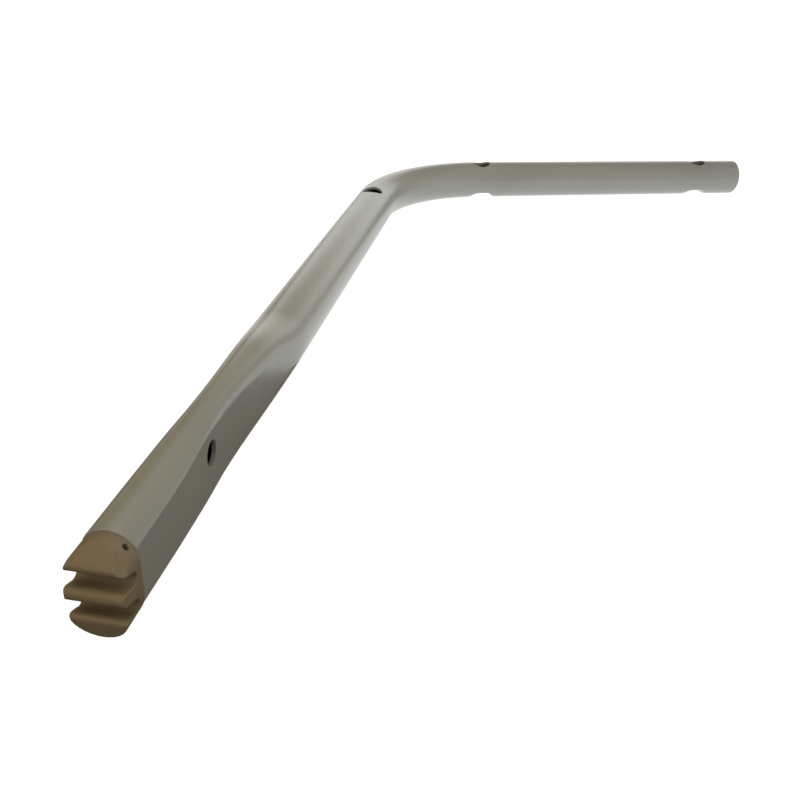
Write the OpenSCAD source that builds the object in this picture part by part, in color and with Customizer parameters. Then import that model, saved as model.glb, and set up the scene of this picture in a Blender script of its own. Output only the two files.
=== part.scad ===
// Lower handlebar of a garden machine: one bent tube with a pressed end and a slotted end plug.
// Frame: X to the right across the leg, Y along the leg toward the bend, Z up.
// The origin is the middle of the hole across the pressed flats.

/* [Tube] */
// Outer diameter of the round tube
tube_d = 25; // [20:0.5:32]
// Wall thickness
wall_t = 1.5; // [1:0.1:3]
// From the cross hole to the start of the bend
leg_len = 323.5; // [200:0.5:450]
// Radius of the bend at the tube's axis
bend_r = 100; // [60:1:160]
// Angle that the arm turns to the right
bend_angle = 68; // [30:1:90]
// Straight length of the arm after the bend
arm_len = 211.2; // [120:0.1:320]

/* [Pressed end] */
// From the cross hole to the open end of the pressed leg
mouth_len = 59; // [40:0.5:90]
// From the cross hole to the place where the pressing starts
run_out_y = 101.5; // [80:0.5:140]
// From the cross hole to the shoulder of the pressing
knee_y = 61.5; // [40:0.5:75]
// Width across the flats at the shoulder
knee_w = 16.7; // [14:0.1:22]
// Height at the shoulder
knee_h = 30.7; // [25:0.1:34]
// From the cross hole to the narrowest place
neck_y = 17.5; // [5:0.5:35]
// Width across the flats at the narrowest place
neck_w = 12.3; // [10:0.1:16]
// Height at the narrowest place
neck_h = 31.4; // [26:0.1:36]
// How far before the open end the section stops changing
mouth_run = 20; // [5:0.5:35]
// Width across the flats at the open end
mouth_w = 15.7; // [12:0.1:20]
// Height at the open end
mouth_h = 29.2; // [25:0.1:34]

/* [Holes] */
// Diameter of the hole across the flats
cross_hole_d = 9; // [6:0.1:11]
// Height of that hole above the tube's axis
cross_hole_rise = 3.3; // [0:0.1:5]
// Diameter of the holes in the top
top_hole_d = 12.8; // [8:0.1:15]
// Diameter of the holes through the seats in the underside
seat_hole_d = 8.5; // [6:0.1:12]
// From the start of the bend back to the first top hole
first_hole_back = 10.5; // [5:0.5:60]
// From the end of the bend to the second top hole
second_hole_out = 0; // [0:0.5:60]
// From the end of the bend to the third top hole
third_hole_out = 177.8; // [90:0.1:190]

/* [Seats in the underside] */
// How deep a seat is pressed in
seat_depth = 4.4; // [2:0.1:6]
// Whole length of a seat along the tube
seat_len = 25; // [18:0.5:32]
// Length of its flat floor
seat_floor_len = 7; // [4:0.5:12]

/* [End plug] */
// How far the middle tooth of the head reaches out of the tube
head_len = 11.4; // [8:0.1:16]
// Width of the head
head_w = 17.3; // [14:0.1:20]
// Height of the head
head_h = 28.6; // [24:0.1:34]
// How far the head's middle lies below the tube's axis
head_drop = 0.4; // [0:0.1:0.6]
// Radius of the gentle curve of the head's front, seen from the side
front_r = 55; // [40:1:200]
// Radius of the slope at the top of the head, seen from the side
slope_r = 23; // [18:0.5:30]
// How far out of the tube the slope starts
slope_start = 3.7; // [2:0.1:6]
// Steepness of the slope where it starts
slope_angle = 32; // [20:1:50]
// Radius of the upright edges of the head
edge_r = 1.2; // [1:0.1:4]
// Width of the slots
slot_w = 4.6; // [3:0.05:6]
// Distance between the middles of the slots, one above the other
slot_pitch = 9.1; // [7:0.1:11]
// Angle at which the slots rise toward the front
slot_tilt = 18; // [0:1:25]
// How far in front of the tube the slots end
slot_root = 2.9; // [1.5:0.1:6]
// How far below the tube's axis the slots' ends have their middle
slot_drop = 1.6; // [0:0.1:3]
// Rounding of the outer lips beside the slots
lip_r = 1.5; // [0.5:0.1:2]
// Distance of the slanted facet on the right shoulder from the middle of the tube's end
facet_out = 12.9; // [10:0.1:14]
// Angle at which that facet turns from the side to the front
facet_turn = 27.5; // [10:0.5:50]
// Angle at which it turns upward
facet_rise = 38; // [20:0.5:60]
// Diameter of the small recess in the head's right shoulder
recess_d = 2; // [1:0.1:3]
// Depth of that recess
recess_depth = 2.5; // [1:0.1:4]
// From the tube to the middle of that recess
recess_out = 2; // [1.2:0.1:3]
// Angle of that recess above the middle of the shoulder's curve
recess_angle = 45; // [20:1:70]
// Length of the shank inside the tube
shank_len = 28; // [15:0.5:45]
// Gap between the shank and the tube
shank_clearance = 0.4; // [0.3:0.05:0.8]

/* [Hidden] */

tube_r = tube_d / 2;
// Extra length of cutting bodies past a face
past = 1;
// How far under the tube the ends of a seat's curve pass
skim = 0.15;
// How much further than needed the bend is turned before it is cut, in degrees
spare_angle = 6;
// How much thicker the pressed wall is on each side, so that it closes on the round tube
lap = 0.05;
// Height of the tube's axis in this frame
axis_z = -cross_hole_rise;
// Sections along the pressed end and points around each section
press_steps = 22;
around = 48;
mouth_y = -mouth_len;
settle_y = mouth_y + mouth_run;

// Middles of the slots' round ends, in front of the tube
root_x = slot_root + slot_w / 2;
// In a view that is tilted with the slots: each slot's height and how far its end is shifted
slot_rise = slot_pitch / 2 * cos(slot_tilt);
slot_shift = slot_pitch / 2 * sin(slot_tilt);
// The middle tooth between them: radius of its round tip, and where that radius has its middle
tooth_r = slot_rise - slot_w / 2;
tip_x = (head_len - tooth_r - root_x) / cos(slot_tilt);
front_rise = tip_x * sin(slot_tilt) - slot_drop;

// Slope of the curve through the shoulder, between the slopes of its two sides
function mean_slope(a, b) = a * b > 0 ? 2 * a * b / (a + b) : 0;
// Cubic curve from value a to value b over t from 0 to 1, with end slopes sa and sb
function ease(a, b, sa, sb, t) =
    a * (2 * t * t * t - 3 * t * t + 1) + sa * (t * t * t - 2 * t * t + t)
    + b * (3 * t * t - 2 * t * t * t) + sb * (t * t * t - t * t);
// A size along the pressed end: mouth, neck, knee and round tube in turn
function along(y, mouth, neck, knee, full) =
    let (
        inner_run = neck_y - settle_y,
        mid_run = knee_y - neck_y,
        outer_run = run_out_y - knee_y,
        slope = mean_slope((knee - neck) / mid_run, (full - knee) / outer_run)
    )
    y <= settle_y ? mouth
    : y <= neck_y ? ease(mouth, neck, 0, 0, (y - settle_y) / inner_run)
    : y <= knee_y ? ease(neck, knee, 0, slope * mid_run, (y - neck_y) / mid_run)
    : y <= run_out_y ? ease(knee, full, slope * outer_run, 0, (y - knee_y) / outer_run)
    : full;
function press_w(y) = along(y, mouth_w, neck_w, knee_w, tube_d);
function press_h(y) = along(y, mouth_h, neck_h, knee_h, tube_d);

// One long round section: two half circles and the flats between them
function section(y, w, h) = [
    for (i = [0:around - 1])
        let (a = (i + 0.5) * 360 / around)
        [w / 2 * cos(a), y, axis_z + sign(sin(a)) * (h - w) / 2 + w / 2 * sin(a)]
];

// Solid body through the sections of the pressed end, each made smaller by inset
module pressed_body(inset, y_from, y_to) {
    step = (y_to - y_from) / press_steps;
    points = [
        for (k = [0:press_steps])
            let (y = y_from + k * step)
            each section(y, press_w(y) - 2 * inset, press_h(y) - 2 * inset)
    ];
    sides = [
        for (k = [0:press_steps - 1])
            for (i = [0:around - 1])
                for (half = [0, 1])
                    let (j = (i + 1) % around, a = k * around, b = a + around)
                    half == 0 ? [a + i, a + j, b + j] : [a + i, b + j, b + i]
    ];
    first = [[for (i = [around - 1:-1:0]) i]];
    last = [[for (i = [0:around - 1]) press_steps * around + i]];
    polyhedron(points = points, faces = concat(sides, first, last), convexity = 6);
}

// Moves its child to the start of the bend, on the tube's axis
module at_bend() {
    translate([0, leg_len, axis_z])
        children();
}

// Moves its child to the end of the bend, with Y along the arm
module at_arm() {
    at_bend()
        translate([bend_r, 0, 0])
            rotate([0, 0, -bend_angle])
                translate([-bend_r, 0, 0])
                    children();
}

// Straight round bar along Y, with its seam on the outer side of the bend
module bar(r, length) {
    rotate([-90, 0, 0])
        rotate([0, 0, 180])
            cylinder(h = length, r = r, $fn = 48);
}

// Round bar of radius r along the bend. It is turned a little too far and then cut square by the
// arm's own first plane, so that the two meet exactly.
module bend_bar(r) {
    difference() {
        at_bend()
            translate([bend_r, 0, 0])
                rotate([0, 180, 0])
                    rotate_extrude(angle = bend_angle + spare_angle, $fn = 96)
                        translate([bend_r, 0])
                            circle(r = r, $fn = 48);
        at_arm()
            translate([-tube_d, 0, -tube_d])
                cube([2 * tube_d, bend_r, 2 * tube_d]);
    }
}

// Round bar of radius r along the whole run behind the pressed end
module round_run(r, y_from, end_past) {
    translate([0, y_from, axis_z])
        bar(r, leg_len - y_from);
    bend_bar(r);
    at_arm()
        bar(r, arm_len + end_past);
}

// Side view of a seat: a flat floor that runs out into the tube in two arcs at each end
module seat_profile(grow) {
    half = seat_len / 2;
    floor_half = seat_floor_len / 2;
    run = half - floor_half;
    // Both arcs share one radius, and meet at their common tangent
    turn = 2 * atan((seat_depth + skim) / run);
    arc_r = run / 2 / sin(turn);
    low = -tube_r - skim;
    high = seat_depth - tube_r;
    meet_y = floor_half + (arc_r + grow) * sin(turn);
    meet_z = high - arc_r + (arc_r + grow) * cos(turn);
    difference() {
        union() {
            polygon([
                [-half, -2 * tube_r], [-half, low + grow], [-meet_y, meet_z],
                [-floor_half, high + grow], [floor_half, high + grow],
                [meet_y, meet_z], [half, low + grow], [half, -2 * tube_r]
            ]);
            for (side = [-1, 1])
                translate([side * floor_half, high - arc_r])
                    circle(r = arc_r + grow, $fn = 48);
        }
        for (side = [-1, 1])
            translate([side * half, low + arc_r])
                circle(r = arc_r - grow, $fn = 48);
    }
}

// Body that presses one seat, with Y along the tube
module seat_body(grow) {
    rotate([90, 0, 90])
        translate([0, 0, -tube_d])
            linear_extrude(height = 2 * tube_d)
                seat_profile(grow);
}

// Puts its children at each of the three holes
module at_holes() {
    at_bend()
        translate([0, -first_hole_back, 0])
            children();
    at_arm()
        translate([0, second_hole_out, 0])
            children();
    at_arm()
        translate([0, third_hole_out, 0])
            children();
}

module hole_pair() {
    cylinder(h = tube_d, d = top_hole_d, $fn = 48);
    translate([0, 0, -tube_d])
        cylinder(h = tube_d, d = seat_hole_d, $fn = 48);
}

module tube() {
    color([0.62, 0.62, 0.62])
        difference() {
            union() {
                round_run(tube_r, run_out_y, 0);
                pressed_body(-lap, mouth_y, run_out_y);
            }
            difference() {
                union() {
                    round_run(tube_r - wall_t, run_out_y, past);
                    pressed_body(wall_t + lap, mouth_y - past, run_out_y);
                }
                at_holes()
                    seat_body(wall_t);
            }
            at_holes()
                seat_body(0);
            at_holes()
                hole_pair();
            rotate([0, 90, 0])
                translate([0, 0, -tube_d])
                    cylinder(h = 2 * tube_d, d = cross_hole_d, $fn = 48);
        }
}

// Long round outline, standing up
module long_round(w, h) {
    square([w, h - w], center = true);
    for (side = [-1, 1])
        translate([0, side * (h - w) / 2])
            circle(d = w, $fn = 64);
}

// Disc of radius r about a cross axis, with rounded rims; it lies behind the point where x is out
module head_disc(r, out, up) {
    flat_r = r - edge_r;
    translate([0, r - out, up])
        rotate([0, 90, 0])
            rotate_extrude($fn = 96) {
                translate([0, -head_w / 2])
                    square([flat_r, head_w]);
                translate([0, edge_r - head_w / 2])
                    square([r, head_w - 2 * edge_r]);
                for (side = [-1, 1])
                    translate([flat_r, side * (head_w / 2 - edge_r)])
                        circle(r = edge_r, $fn = 48);
            }
}

// Side view of one outer lip's waste: what lies between the slot's flank, the lip's rounding and
// the curve of radius r about the point c. The tooth is on the side of the flank that side gives.
module lip_waste(side, flank, c, r) {
    reach = r - lip_r;
    z = flank + side * lip_r;
    x = c[0] + sqrt(reach * reach - (z - c[1]) * (z - c[1]));
    // From the curve's middle through the lip's, and on past the curve
    beyond = 1 + 2 * lip_r / reach;
    difference() {
        polygon([
            [x, flank - side * past], [x, z],
            [c[0] + beyond * (x - c[0]), c[1] + beyond * (z - c[1])],
            [x + head_len, flank - side * past]
        ]);
        translate([x, z])
            circle(r = lip_r, $fn = 48);
    }
}

// Side view of the slots with the rounding of the teeth; x runs forward from the tube's end
module slots_profile() {
    flank = slot_rise + slot_w / 2;
    translate([root_x, -slot_drop])
        rotate(slot_tilt) {
            for (side = [-1, 1]) {
                translate([side * slot_shift, side * slot_rise])
                    circle(d = slot_w, $fn = 48);
                translate([side * slot_shift, side * slot_rise - slot_w / 2])
                    square([2 * head_len, slot_w]);
            }
            difference() {
                translate([tip_x, -slot_rise])
                    square([2 * head_len, 2 * slot_rise]);
                translate([tip_x, 0])
                    circle(r = tooth_r, $fn = 48);
            }
            lip_waste(1, flank, tilted(slope_middle()), slope_r);
            lip_waste(-1, -flank, tilted(front_middle()), front_r);
        }
}

// Middles of the two curves of the head, from the tube's end and axis
function front_middle() = [head_len - front_r, front_rise];
function slope_middle() = [
    slope_start - slope_r * sin(slope_angle),
    head_h / 2 - head_drop - slope_r * cos(slope_angle)
];
// The same point in the tilted view of the slots
function tilted(p) =
    let (x = p[0] - root_x, z = p[1] + slot_drop)
    [x * cos(slot_tilt) + z * sin(slot_tilt), z * cos(slot_tilt) - x * sin(slot_tilt)];

// What the slanted facet on the right shoulder takes away
module shoulder_facet() {
    rotate([0, -facet_rise, -facet_turn])
        translate([facet_out, -head_h, -head_h])
            cube([head_h, 2 * head_h, 2 * head_h]);
}

// Small round recess in the right shoulder of the head, square to its curve
module shoulder_recess() {
    translate([0, -recess_out, head_h / 2 - head_w / 2 - head_drop])
        rotate([0, 90 - recess_angle, 0])
            translate([0, 0, head_w / 2 - recess_depth])
                cylinder(h = 2 * recess_depth, d = recess_d, $fn = 32);
}

module end_plug() {
    shank_end_w = press_w(mouth_y + shank_len);
    shank_w = min(mouth_w, shank_end_w) - 2 * wall_t - 2 * shank_clearance;
    shank_h = mouth_h - 2 * wall_t - 2 * shank_clearance;
    color([0.2, 0.19, 0.17])
        translate([0, mouth_y, axis_z]) {
            difference() {
                intersection() {
                    rotate([90, 0, 0])
                        linear_extrude(height = head_len)
                            translate([0, -head_drop])
                                long_round(head_w, head_h);
                    head_disc(front_r, head_len, front_rise);
                    head_disc(slope_r, slope_middle()[0] + slope_r, slope_middle()[1]);
                }
                rotate([90, 0, -90])
                    translate([0, 0, -head_w])
                        linear_extrude(height = 2 * head_w)
                            slots_profile();
                shoulder_facet();
                shoulder_recess();
            }
            rotate([-90, 0, 0])
                linear_extrude(height = shank_len)
                    long_round(shank_w, shank_h);
        }
}

tube();
end_plug();
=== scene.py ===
# Looks of the lower handlebar: a bent, satin grey tube with a pressed end and a matte slotted plug.
# Lengths are in metres, in the part's own frame: the origin is the middle of the cross hole, Y runs
# along the leg toward the bend, X to the side that the arm turns to, and Z up.
import math

import bmesh
import bpy
from mathutils import Matrix, Vector


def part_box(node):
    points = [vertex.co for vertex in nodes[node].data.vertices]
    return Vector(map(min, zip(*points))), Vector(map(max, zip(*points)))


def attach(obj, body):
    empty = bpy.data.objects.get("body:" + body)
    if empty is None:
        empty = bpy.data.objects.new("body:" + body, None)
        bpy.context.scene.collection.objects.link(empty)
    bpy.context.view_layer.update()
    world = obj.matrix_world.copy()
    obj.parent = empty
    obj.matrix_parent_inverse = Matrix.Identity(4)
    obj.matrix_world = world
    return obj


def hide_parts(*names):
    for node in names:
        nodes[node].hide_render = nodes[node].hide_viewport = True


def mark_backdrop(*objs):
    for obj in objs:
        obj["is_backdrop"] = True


MM = 0.001

# The tube: its run from the mouth of the leg, along the bend, to the end of the arm
TUBE_R = 12.5 * MM
WALL = 1.5 * MM
LEG_LEN = 323.5 * MM
BEND_R = 100 * MM
BEND_ANGLE = math.radians(68)
ARM_LEN = 211.2 * MM
AXIS_Z = -3.3 * MM
MOUTH_Y = -59 * MM
BEND_LEN = BEND_R * BEND_ANGLE
ARM_START = LEG_LEN + BEND_LEN
ARM_END = ARM_START + ARM_LEN

# The tube's mesh: points round each ring, and steps between the rings, at the seats, along the pressed
# end and elsewhere
AROUND = 160
SEAT_STEP = 0.7 * MM
PRESSED_STEP = 1.5 * MM
PLAIN_STEP = 2.5 * MM
SHORTEST_STEP = 0.5 * MM
TUBE_CREASE_DEGREES = 35

# The pressed end: where it is measured, and its width and height there
MOUTH = (-39 * MM, 15.7 * MM, 29.2 * MM)
NECK = (17.5 * MM, 12.3 * MM, 31.4 * MM)
KNEE = (61.5 * MM, 16.7 * MM, 30.7 * MM)
ROUND = (101.5 * MM, 2 * TUBE_R, 2 * TUBE_R)

# The edges between its flats and arches: how high above the axis they run, by y, and their radius
EDGE_UP = ((-59 * MM, 9.2 * MM), (-28 * MM, 9.9 * MM), (0, 11.2 * MM), (14 * MM, 10.3 * MM),
           (29 * MM, 9.3 * MM), (43 * MM, 8.7 * MM), (61 * MM, 7.6 * MM), (76 * MM, 4.6 * MM),
           (90 * MM, 1.8 * MM), (104 * MM, 0), (110 * MM, 0))
EDGE_R = 1.2 * MM
INNER_EDGE_R = 0.4 * MM
EDGE_CROWDING = 4

# The rounded rims of the mouth and of the arm's end, and how many steps each takes
RIM_R = 0.7 * MM
RIM_STEPS = 4

# The holes: their radii, where they lie along the run, and how far their cutters reach from its axis
CROSS_HOLE_R = 4.5 * MM
TOP_HOLE_R = 6.4 * MM
SEAT_HOLE_R = 4.25 * MM
HOLES = (LEG_LEN - 10.5 * MM, ARM_START, ARM_START + 177.8 * MM)
HOLE_SIDES = 96
CUT_REACH = 30 * MM

# The seats pressed into the underside
SEAT_DEPTH = 4.4 * MM
SEAT_LEN = 25 * MM
SEAT_FLOOR_LEN = 7 * MM
SEAT_SOFTNESS = 1.2 * MM
SEAT_FADE = 1.5 * MM
SEAT_MARGIN = 2 * MM
SEAT_STEP_MARGIN = 1 * MM

# How the plug's edges are rounded
PLUG_VOXEL = 0.22 * MM
PLUG_SMOOTHING = 8
PLUG_CREASE_DEGREES = 60

# The paint of the tube and the plastic of the plug: their colours, and their fine and coarse grain
PAINT_COLOURS = ((0.245, 0.242, 0.23), (0.265, 0.262, 0.25))
PAINT_ROUGHNESS = 0.3
PAINT_CLOUDS = 18
PAINT_PEEL = 900
PAINT_PEEL_STRENGTH = 0.04
# The plug's colours are its own grey-brown tone with painted warm light: their brown tint stands in for
# warm light and reflection falling on it
PLASTIC_TONE_AND_WARM_LIGHT_COLOURS = ((0.16, 0.118, 0.072), (0.195, 0.145, 0.09))
PLASTIC_ROUGHNESS = 0.6
PLASTIC_CLOUDS = 60
PLASTIC_GRAIN = 2500
PLASTIC_GRAIN_STRENGTH = 0.15
CLOUD_RANGE = (0.3, 0.7)
GRAIN_HEIGHT = 0.2 * MM

# The camera, as it stood for the photograph
CAMERA_PLACE = Vector((99.4, -226.4, 151.3)) * MM
CAMERA_YAW = math.radians(7.84)
CAMERA_PITCH = math.radians(-28.34)
CAMERA_ROLL = math.radians(-2.97)
CAMERA_FOCAL_PIXELS = 850
CAMERA_CLIP_START = 5 * MM
PICTURE_PIXELS = 800
SENSOR = 36.0

# The floor: its colour in the picture, how much it shines, and what it throws back on the part: little
# and brown near the camera, and white from where the photograph's sheet begins. That edge is a narrow
# band in Y, which comes nearer by the slant as X grows.
FLOOR_SIZE = 60
FLOOR_ROUGHNESS = 0.8
FLOOR_COLOUR = (0.25, 0.25, 0.25)
FLOOR_SHINE = 0.92
NEAR_BOUNCE = (0.15, 0.13, 0.1)
FAR_BOUNCE = (1.2, 1.22, 1.2)
SHEET_EDGE = (113 * MM, 121 * MM)
SHEET_SLANT = 0.8

# The surroundings: a band at the horizon, and broad glows by direction, narrowness and colour
BAND_HEIGHT = 0.1
BAND_COLOUR = (0.35, 0.35, 0.27)
GLOWS = (
    ((1, 0, 0.25), 3, (1.01, 1.0, 0.92)),
    ((0, -1, 0.9), 10, (1.68, 1.72, 1.6)),
    ((0, 1, 0.25), 3, (0.41, 0.28, 0.04)),
    ((-0.1, 0.55, 0.83), 30, (0.8, 0.95, 1.5)),
)

# Soft lights round the part: name, place, size, power and colour
LIT_PLACE = Vector((0.1, 0.2, 0))
LIGHTS = (
    ("far", (0, 1.6, 0.35), (1.4, 0.5), 4.0, (0.78, 0.88, 1)),
    ("top", (0.1, 0.2, 1.5), (1.5, 1.5), 5.8, (1, 0.89, 0.66)),
    ("near_end", (-0.25, -0.3, 0.35), (0.3, 0.3), 0.6, (1, 0.76, 0.15)),
)


def material(name):
    """A new node material, with its node tree and its Principled shader."""
    mat = bpy.data.materials.new(name)
    mat.use_nodes = True
    return mat, mat.node_tree, mat.node_tree.nodes["Principled BSDF"]


def noise(tree, scale, detail=3.0, roughness=0.5):
    """Noise that is fixed to the object's own coordinates."""
    place = tree.nodes.new("ShaderNodeTexCoord")
    node = tree.nodes.new("ShaderNodeTexNoise")
    node.inputs["Scale"].default_value = scale
    node.inputs["Detail"].default_value = detail
    node.inputs["Roughness"].default_value = roughness
    tree.links.new(place.outputs["Object"], node.inputs["Vector"])
    return node


def ramp(tree, source, low, high, low_colour, high_colour):
    """Colours that run from low_colour to high_colour as source goes from low to high."""
    node = tree.nodes.new("ShaderNodeValToRGB")
    node.color_ramp.elements[0].position = low
    node.color_ramp.elements[1].position = high
    node.color_ramp.elements[0].color = (*low_colour, 1)
    node.color_ramp.elements[1].color = (*high_colour, 1)
    tree.links.new(source, node.inputs["Fac"])
    return node


def bump(tree, shader, source, strength, distance):
    """Roughens the shader's surface by source, up to distance high."""
    node = tree.nodes.new("ShaderNodeBump")
    node.inputs["Strength"].default_value = strength
    node.inputs["Distance"].default_value = distance
    tree.links.new(source, node.inputs["Height"])
    tree.links.new(node.outputs["Normal"], shader.inputs["Normal"])


def tube_paint():
    """Satin grey paint with a faint orange peel."""
    mat, tree, shader = material("satin_grey_paint")
    cloud = noise(tree, PAINT_CLOUDS)
    colours = ramp(tree, cloud.outputs["Fac"], *CLOUD_RANGE, *PAINT_COLOURS)
    tree.links.new(colours.outputs["Color"], shader.inputs["Base Color"])
    shader.inputs["Roughness"].default_value = PAINT_ROUGHNESS
    peel = noise(tree, PAINT_PEEL, 2)
    bump(tree, shader, peel.outputs["Fac"], PAINT_PEEL_STRENGTH, GRAIN_HEIGHT)
    return mat


def plug_plastic():
    """Matte plastic with a fine grain, coloured with painted warm light: its brown tint stands in for
    warm light on a greyer piece.
    """
    mat, tree, shader = material("matte_plastic_painted_warm_light")
    cloud = noise(tree, PLASTIC_CLOUDS)
    colours = ramp(tree, cloud.outputs["Fac"], *CLOUD_RANGE, *PLASTIC_TONE_AND_WARM_LIGHT_COLOURS)
    tree.links.new(colours.outputs["Color"], shader.inputs["Base Color"])
    shader.inputs["Roughness"].default_value = PLASTIC_ROUGHNESS
    grain = noise(tree, PLASTIC_GRAIN, 2)
    bump(tree, shader, grain.outputs["Fac"], PLASTIC_GRAIN_STRENGTH, GRAIN_HEIGHT)
    return mat


def ease(a, b, slope_a, slope_b, t):
    """Cubic curve from a to b, over t from 0 to 1, with these slopes at its ends."""
    cube, square = t ** 3, t ** 2
    return (a * (2 * cube - 3 * square + 1) + slope_a * (cube - 2 * square + t)
            + b * (3 * square - 2 * cube) + slope_b * (cube - square))


def pressed(y, which):
    """Width (which=1) or height (which=2) of the tube at y on the leg."""
    if y <= MOUTH[0]:
        return MOUTH[which]
    if y >= ROUND[0]:
        return ROUND[which]
    if y <= NECK[0]:
        return ease(MOUTH[which], NECK[which], 0, 0, (y - MOUTH[0]) / (NECK[0] - MOUTH[0]))
    mid, outer = KNEE[0] - NECK[0], ROUND[0] - KNEE[0]
    before, after = (KNEE[which] - NECK[which]) / mid, (ROUND[which] - KNEE[which]) / outer
    slope = 2 * before * after / (before + after) if before * after > 0 else 0
    if y <= KNEE[0]:
        return ease(NECK[which], KNEE[which], 0, slope * mid, (y - NECK[0]) / mid)
    return ease(KNEE[which], ROUND[which], slope * outer, 0, (y - KNEE[0]) / outer)


def section(width, height, edge_up, edge_r):
    """Points (across, up) round the outline of one section, from the middle of its right flat.

    Its two flats end at edge_up. Above that stands an arch, which meets them in an edge of radius
    edge_r. The arch is round, or drawn upward where it is higher than half its width.
    """
    half_w, half_h = width / 2, height / 2
    drawn = max((half_h - edge_up) / half_w, 1)
    crown = (half_h - edge_up) / drawn
    arch_r = (half_w ** 2 + crown ** 2) / (2 * crown)
    edge_r = min(edge_r, arch_r)
    arch_up = edge_up + crown - arch_r
    turn_across = half_w - edge_r
    turn_up = arch_up + math.sqrt(max((arch_r - edge_r) ** 2 - turn_across ** 2, 0))
    turn = math.atan2(turn_up - arch_up, turn_across)
    flat_len, edge_len = turn_up, EDGE_CROWDING * edge_r * turn
    quarter = flat_len + edge_len + arch_r * (math.pi / 2 - turn)
    points = []
    for i in range(AROUND // 4):
        d = quarter * 4 * i / AROUND
        if d < flat_len:
            across, up = half_w, d
        elif d < flat_len + edge_len:
            a = (d - flat_len) / (EDGE_CROWDING * edge_r)
            across, up = turn_across + edge_r * math.cos(a), turn_up + edge_r * math.sin(a)
        else:
            a = turn + (d - flat_len - edge_len) / arch_r
            across, up = arch_r * math.cos(a), arch_up + arch_r * math.sin(a)
        points.append((across, up + max(up - edge_up, 0) * (drawn - 1)))
    top = [(0, half_h)]
    left = [(-across, up) for across, up in reversed(points[1:])]
    upper = points + top + left + [(-half_w, 0)]
    return upper + [(across, -up) for across, up in reversed(upper[1:-1])]


def seat_floor(along, inset):
    """Height of a seat's floor above the tube's axis, at a distance along from its middle."""
    run = (SEAT_LEN - SEAT_FLOOR_LEN) / 2
    turn = 2 * math.atan(SEAT_DEPTH / run)
    arc_r = run / 2 / math.sin(turn)
    low, high = -TUBE_R, SEAT_DEPTH - TUBE_R
    d = abs(along) - SEAT_FLOOR_LEN / 2
    if d <= 0:
        return high + inset
    if d < (arc_r + inset) * math.sin(turn):
        return high - arc_r + math.sqrt((arc_r + inset) ** 2 - d ** 2)
    d = run - d
    if d > 0:
        return low + arc_r - math.sqrt(max((arc_r - inset) ** 2 - d ** 2, 0))
    return low + inset


def soft_max(a, b, softness):
    """The larger of a and b, with a rounded corner where they are equal."""
    t = min(max(0.5 + 0.5 * (a - b) / softness, 0), 1)
    return a * t + b * (1 - t) + softness * t * (1 - t)


def run_frame(distance):
    """Middle, sideways direction and forward direction of the run at a distance from the cross hole."""
    start = Vector((0, 0, AXIS_Z))
    if distance <= LEG_LEN:
        return start + Vector((0, distance, 0)), Vector((1, 0, 0)), Vector((0, 1, 0))
    angle = min((distance - LEG_LEN) / BEND_R, BEND_ANGLE)
    sideways = Vector((math.cos(angle), -math.sin(angle), 0))
    forward = Vector((math.sin(angle), math.cos(angle), 0))
    middle = start + Vector((BEND_R, LEG_LEN, 0)) - sideways * BEND_R
    return middle + forward * max(distance - LEG_LEN - BEND_LEN, 0), sideways, forward


def stations():
    """Distances along the run at which the tube has a ring of points."""
    places = []
    place = MOUTH_Y + RIM_R
    while place < ARM_END - RIM_R - SHORTEST_STEP:
        places.append(place)
        if any(abs(place - hole) < SEAT_LEN / 2 + SEAT_STEP_MARGIN for hole in HOLES):
            place += SEAT_STEP
        elif place < ROUND[0]:
            place += PRESSED_STEP
        else:
            place += PLAIN_STEP
    return places + [ARM_END - RIM_R]


def edge_height(y):
    """How high above the axis the edges of the pressed end run at y on the leg, along a smooth curve."""
    if y <= EDGE_UP[0][0]:
        return EDGE_UP[0][1]
    if y >= EDGE_UP[-1][0]:
        return EDGE_UP[-1][1]
    slopes = [(b[1] - a[1]) / (b[0] - a[0]) for a, b in zip(EDGE_UP, EDGE_UP[1:])]
    k = max(i for i in range(len(slopes)) if EDGE_UP[i][0] <= y)
    (low_y, low), (high_y, high) = EDGE_UP[k], EDGE_UP[k + 1]
    span = high_y - low_y
    before = (slopes[max(k - 1, 0)] + slopes[k]) / 2
    after = (slopes[k] + slopes[min(k + 1, len(slopes) - 1)]) / 2
    return max(ease(low, high, before * span, after * span, (y - low_y) / span), 0)


def ring(distance, inset):
    """Points of one ring: the tube's outside, made smaller by inset."""
    middle, sideways, _ = run_frame(distance)
    width = pressed(distance, 1) - 2 * inset
    height = pressed(distance, 2) - 2 * inset
    edge_r = max(EDGE_R - inset, INNER_EDGE_R)
    outline = section(width, height, edge_height(distance), edge_r)
    near = [hole for hole in HOLES if abs(distance - hole) < SEAT_LEN / 2 + SEAT_MARGIN]
    points = []
    for across, up in outline:
        if near and up < 0:
            floor = seat_floor(distance - near[0], inset)
            if floor > up - SEAT_SOFTNESS:
                up = soft_max(up, floor, SEAT_SOFTNESS) - soft_shift(up, floor)
        points.append(middle + sideways * across + Vector((0, 0, up)))
    return points


def soft_shift(up, floor):
    """Keeps the softened seat from lifting the tube where its floor is level with the underside."""
    deep = min(max((floor + TUBE_R) / SEAT_FADE, 0), 1)
    return (soft_max(up, floor, SEAT_SOFTNESS) - max(up, floor)) * (1 - deep)


def mesh_object(name, verts, faces):
    """A new object of these points and faces."""
    data = bpy.data.meshes.new(name)
    data.from_pydata(verts, [], faces)
    data.update()
    made = bpy.data.objects.new(name, data)
    bpy.context.scene.collection.objects.link(made)
    return made


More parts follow.
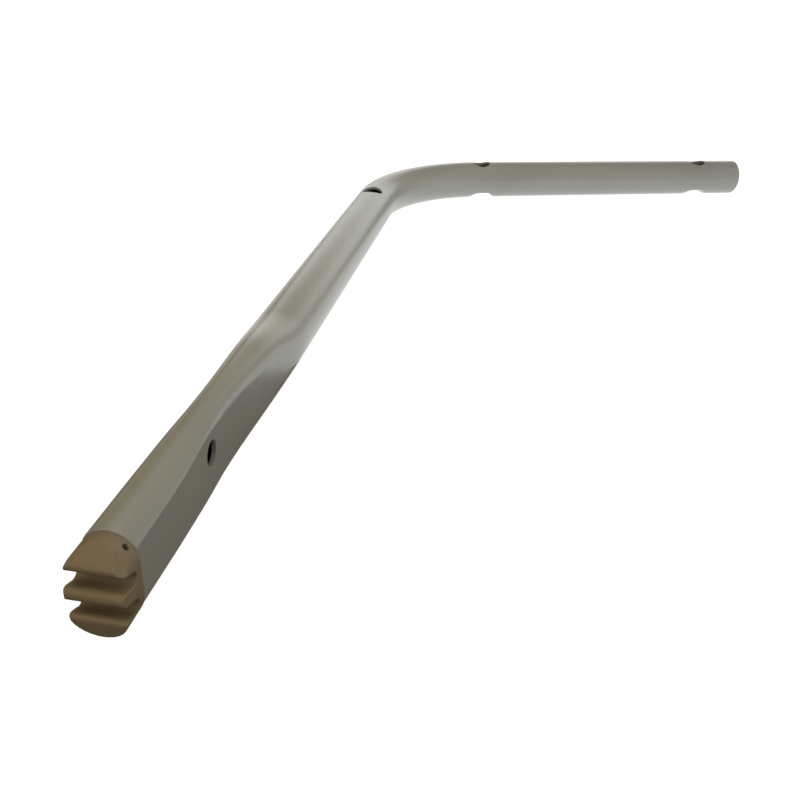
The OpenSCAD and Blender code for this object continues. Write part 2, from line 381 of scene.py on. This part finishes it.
def cutter(name, radius, place, axis, length):
    """A cylinder that runs from place along axis, for cutting a hole."""
    bpy.ops.mesh.primitive_cylinder_add(vertices=HOLE_SIDES, radius=radius, depth=length)
    made = bpy.context.object
    made.name = name
    axis = Vector(axis).normalized()
    turn = axis.to_track_quat("Z", "Y").to_matrix().to_4x4()
    made.matrix_world = Matrix.Translation(Vector(place) + axis * length / 2) @ turn
    return made


def cut(target, tools):
    """Cuts the tools out of target and deletes them."""
    for tool in tools:
        change = target.modifiers.new("cut", "BOOLEAN")
        change.operation = "DIFFERENCE"
        change.solver = "EXACT"
        change.object = tool
    bpy.context.view_layer.update()
    graph = bpy.context.evaluated_depsgraph_get()
    data = bpy.data.meshes.new_from_object(target.evaluated_get(graph))
    target.modifiers.clear()
    target.data = data
    for tool in tools:
        bpy.data.objects.remove(tool)


def shade(target, sharp_degrees):
    """Smooth shading, with a crease at each edge that turns by more than sharp_degrees."""
    edges = bmesh.new()
    edges.from_mesh(target.data)
    for face in edges.faces:
        face.smooth = True
    for edge in edges.edges:
        if len(edge.link_faces) == 2:
            edge.smooth = edge.calc_face_angle(0) < math.radians(sharp_degrees)
    edges.to_mesh(target.data)
    edges.free()


def make_tube():
    """The tube: rings of points along its outside and back along its inside, with the holes cut out."""
    places = stations()
    turns = [math.pi / 2 * i / RIM_STEPS for i in range(RIM_STEPS)]
    rim = [(RIM_R * (1 - math.cos(a)), RIM_R * (1 - math.sin(a))) for a in turns]
    rings = [ring(MOUTH_Y + back, inset) for back, inset in rim]
    rings += [ring(distance, 0) for distance in places]
    rings += [ring(ARM_END - back, inset) for back, inset in reversed(rim)]
    rings += [ring(distance, WALL) for distance in [ARM_END] + places[::-1] + [MOUTH_Y]]
    verts = [p for r in rings for p in r]
    faces = []
    total = len(rings)
    for k in range(total):
        here, there = k * AROUND, ((k + 1) % total) * AROUND
        for i in range(AROUND):
            j = (i + 1) % AROUND
            faces.append((here + j, here + i, there + i, there + j))
    tube = mesh_object("painted_tube", verts, faces)
    tools = [cutter("cross_hole", CROSS_HOLE_R, (-CUT_REACH, 0, 0), (1, 0, 0), 2 * CUT_REACH)]
    for hole in HOLES:
        middle, _, _ = run_frame(hole)
        tools.append(cutter("top_hole", TOP_HOLE_R, middle, (0, 0, 1), CUT_REACH))
        tools.append(cutter("seat_hole", SEAT_HOLE_R, middle, (0, 0, -1), CUT_REACH))
    cut(tube, tools)
    shade(tube, TUBE_CREASE_DEGREES)
    return tube


def make_plug(node):
    """The moulded plug: the CAD node's own form with every edge rounded as in a mould."""
    made = bpy.data.objects.new("moulded_plug", node.data.copy())
    bpy.context.scene.collection.objects.link(made)
    skin = made.modifiers.new("skin", "REMESH")
    skin.mode = "VOXEL"
    skin.voxel_size = PLUG_VOXEL
    soften = made.modifiers.new("soften", "SMOOTH")
    soften.factor = 0.5
    soften.iterations = PLUG_SMOOTHING
    bpy.context.view_layer.update()
    graph = bpy.context.evaluated_depsgraph_get()
    data = bpy.data.meshes.new_from_object(made.evaluated_get(graph))
    made.modifiers.clear()
    made.data = data
    data.materials.clear()
    shade(made, PLUG_CREASE_DEGREES)
    return made


def pale_floor(height):
    """A plain pale floor. It shines, so that the photograph's white ground comes out evenly, and it
    throws back on the part what the photograph's surroundings did."""
    mat, tree, shader = material("pale_floor")
    shader.inputs["Base Color"].default_value = (*FLOOR_COLOUR, 1)
    shader.inputs["Roughness"].default_value = FLOOR_ROUGHNESS
    shader.inputs["Emission Color"].default_value = (1, 1, 1, 1)
    shader.inputs["Emission Strength"].default_value = FLOOR_SHINE
    place = tree.nodes.new("ShaderNodeTexCoord")
    axes = tree.nodes.new("ShaderNodeSeparateXYZ")
    along = tree.nodes.new("ShaderNodeMapRange")
    along.inputs["From Min"].default_value, along.inputs["From Max"].default_value = SHEET_EDGE
    slant = tree.nodes.new("ShaderNodeMath")
    slant.operation = "MULTIPLY_ADD"
    slant.inputs[1].default_value = SHEET_SLANT
    tree.links.new(place.outputs["Object"], axes.inputs[0])
    tree.links.new(axes.outputs["X"], slant.inputs[0])
    tree.links.new(axes.outputs["Y"], slant.inputs[2])
    tree.links.new(slant.outputs[0], along.inputs["Value"])
    colours = ramp(tree, along.outputs["Result"], 0, 1, NEAR_BOUNCE, FAR_BOUNCE)
    bounce = tree.nodes.new("ShaderNodeEmission")
    tree.links.new(colours.outputs["Color"], bounce.inputs["Color"])
    path = tree.nodes.new("ShaderNodeLightPath")
    mix = tree.nodes.new("ShaderNodeMixShader")
    tree.links.new(path.outputs["Is Camera Ray"], mix.inputs[0])
    tree.links.new(bounce.outputs["Emission"], mix.inputs[1])
    tree.links.new(shader.outputs["BSDF"], mix.inputs[2])
    tree.links.new(mix.outputs["Shader"], tree.nodes["Material Output"].inputs["Surface"])
    bpy.ops.mesh.primitive_plane_add(size=FLOOR_SIZE, location=(0, 0, height))
    floor = bpy.context.object
    floor.name = "floor"
    floor.data.materials.append(mat)
    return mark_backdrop(floor)


def add_camera():
    """The camera, where it stood for the photograph."""
    turn = (Matrix.Rotation(CAMERA_YAW, 3, "Z")
            @ Matrix.Rotation(CAMERA_PITCH, 3, "X")
            @ Matrix.Rotation(CAMERA_ROLL, 3, "Y"))
    right, forward, up = turn.col[0], turn.col[1], turn.col[2]
    pose = Matrix((right, up, -forward)).transposed().to_4x4()
    pose.translation = CAMERA_PLACE
    data = bpy.data.cameras.new("camera")
    data.sensor_width = SENSOR
    data.lens = CAMERA_FOCAL_PIXELS / PICTURE_PIXELS * SENSOR
    data.clip_start = CAMERA_CLIP_START
    camera = bpy.data.objects.new("camera", data)
    bpy.context.scene.collection.objects.link(camera)
    camera.matrix_world = pose
    bpy.context.scene.camera = camera


def add_light(name, place, size, power, colour):
    """A soft rectangular light that faces the part and isn't seen itself."""
    data = bpy.data.lights.new(name, "AREA")
    data.shape = "RECTANGLE"
    data.size, data.size_y = size
    data.energy = power
    data.color = colour
    light = bpy.data.objects.new(name, data)
    bpy.context.scene.collection.objects.link(light)
    place = Vector(place)
    light.location = place
    light.rotation_euler = (LIT_PLACE - place).to_track_quat("-Z", "Y").to_euler()
    light.visible_camera = False


def add_world():
    """Soft studio surroundings: a white band at the horizon and a few broad glows round it.

    They only light the part. Where a picture shows them, they are as plain and pale as the floor.
    """
    world = bpy.data.worlds.new("studio")
    bpy.context.scene.world = world
    world.use_nodes = True
    tree = world.node_tree
    place = tree.nodes.new("ShaderNodeTexCoord").outputs["Generated"]

    def math_node(operation, value, second=None):
        node = tree.nodes.new("ShaderNodeMath")
        node.operation = operation
        tree.links.new(value, node.inputs[0])
        if isinstance(second, (int, float)):
            node.inputs[1].default_value = second
        elif second is not None:
            tree.links.new(second, node.inputs[1])
        return node.outputs[0]

    def glow(direction, power):
        node = tree.nodes.new("ShaderNodeVectorMath")
        node.operation = "DOT_PRODUCT"
        node.inputs[1].default_value = Vector(direction).normalized()
        tree.links.new(place, node.inputs[0])
        return math_node("POWER", math_node("MAXIMUM", node.outputs["Value"], 0), power)

    def band():
        node = tree.nodes.new("ShaderNodeSeparateXYZ")
        tree.links.new(place, node.inputs[0])
        height = math_node("DIVIDE", node.outputs["Z"], BAND_HEIGHT)
        square = math_node("MULTIPLY", height, height)
        return math_node("EXPONENT", math_node("MULTIPLY", square, -1))

    total = None
    for strength, colour in [(band(), BAND_COLOUR)] + [(glow(d, p), c) for d, p, c in GLOWS]:
        part = tree.nodes.new("ShaderNodeVectorMath")
        part.operation = "SCALE"
        part.inputs[0].default_value = colour
        tree.links.new(strength, part.inputs["Scale"])
        if total is None:
            total = part.outputs[0]
            continue
        added = tree.nodes.new("ShaderNodeVectorMath")
        added.operation = "ADD"
        tree.links.new(total, added.inputs[0])
        tree.links.new(part.outputs[0], added.inputs[1])
        total = added.outputs[0]
    tree.links.new(total, tree.nodes["Background"].inputs["Color"])
    pale = tree.nodes.new("ShaderNodeBackground")
    pale.inputs["Color"].default_value = (1, 1, 1, 1)
    path = tree.nodes.new("ShaderNodeLightPath")
    mix = tree.nodes.new("ShaderNodeMixShader")
    tree.links.new(path.outputs["Is Camera Ray"], mix.inputs[0])
    tree.links.new(tree.nodes["Background"].outputs["Background"], mix.inputs[1])
    tree.links.new(pale.outputs["Background"], mix.inputs[2])
    tree.links.new(mix.outputs["Shader"], tree.nodes["World Output"].inputs["Surface"])


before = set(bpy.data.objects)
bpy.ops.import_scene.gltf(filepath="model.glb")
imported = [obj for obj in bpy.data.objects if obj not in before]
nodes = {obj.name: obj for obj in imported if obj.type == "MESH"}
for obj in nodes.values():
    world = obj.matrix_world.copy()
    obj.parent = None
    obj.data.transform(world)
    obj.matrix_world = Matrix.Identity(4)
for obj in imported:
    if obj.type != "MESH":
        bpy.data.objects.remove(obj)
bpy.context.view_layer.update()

paint = tube_paint()
plug = make_plug(nodes["end_plug"])
plug.data.materials.append(plug_plastic())
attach(plug, "root")
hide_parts("end_plug")
tube = make_tube()
tube.data.materials.append(paint)
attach(tube, "root")
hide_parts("tube")
low = min(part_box(name)[0].z for name in nodes)
pale_floor(low)
add_camera()
add_world()
for light in LIGHTS:
    add_light(*light)
bpy.context.scene.view_settings.view_transform = "Standard"
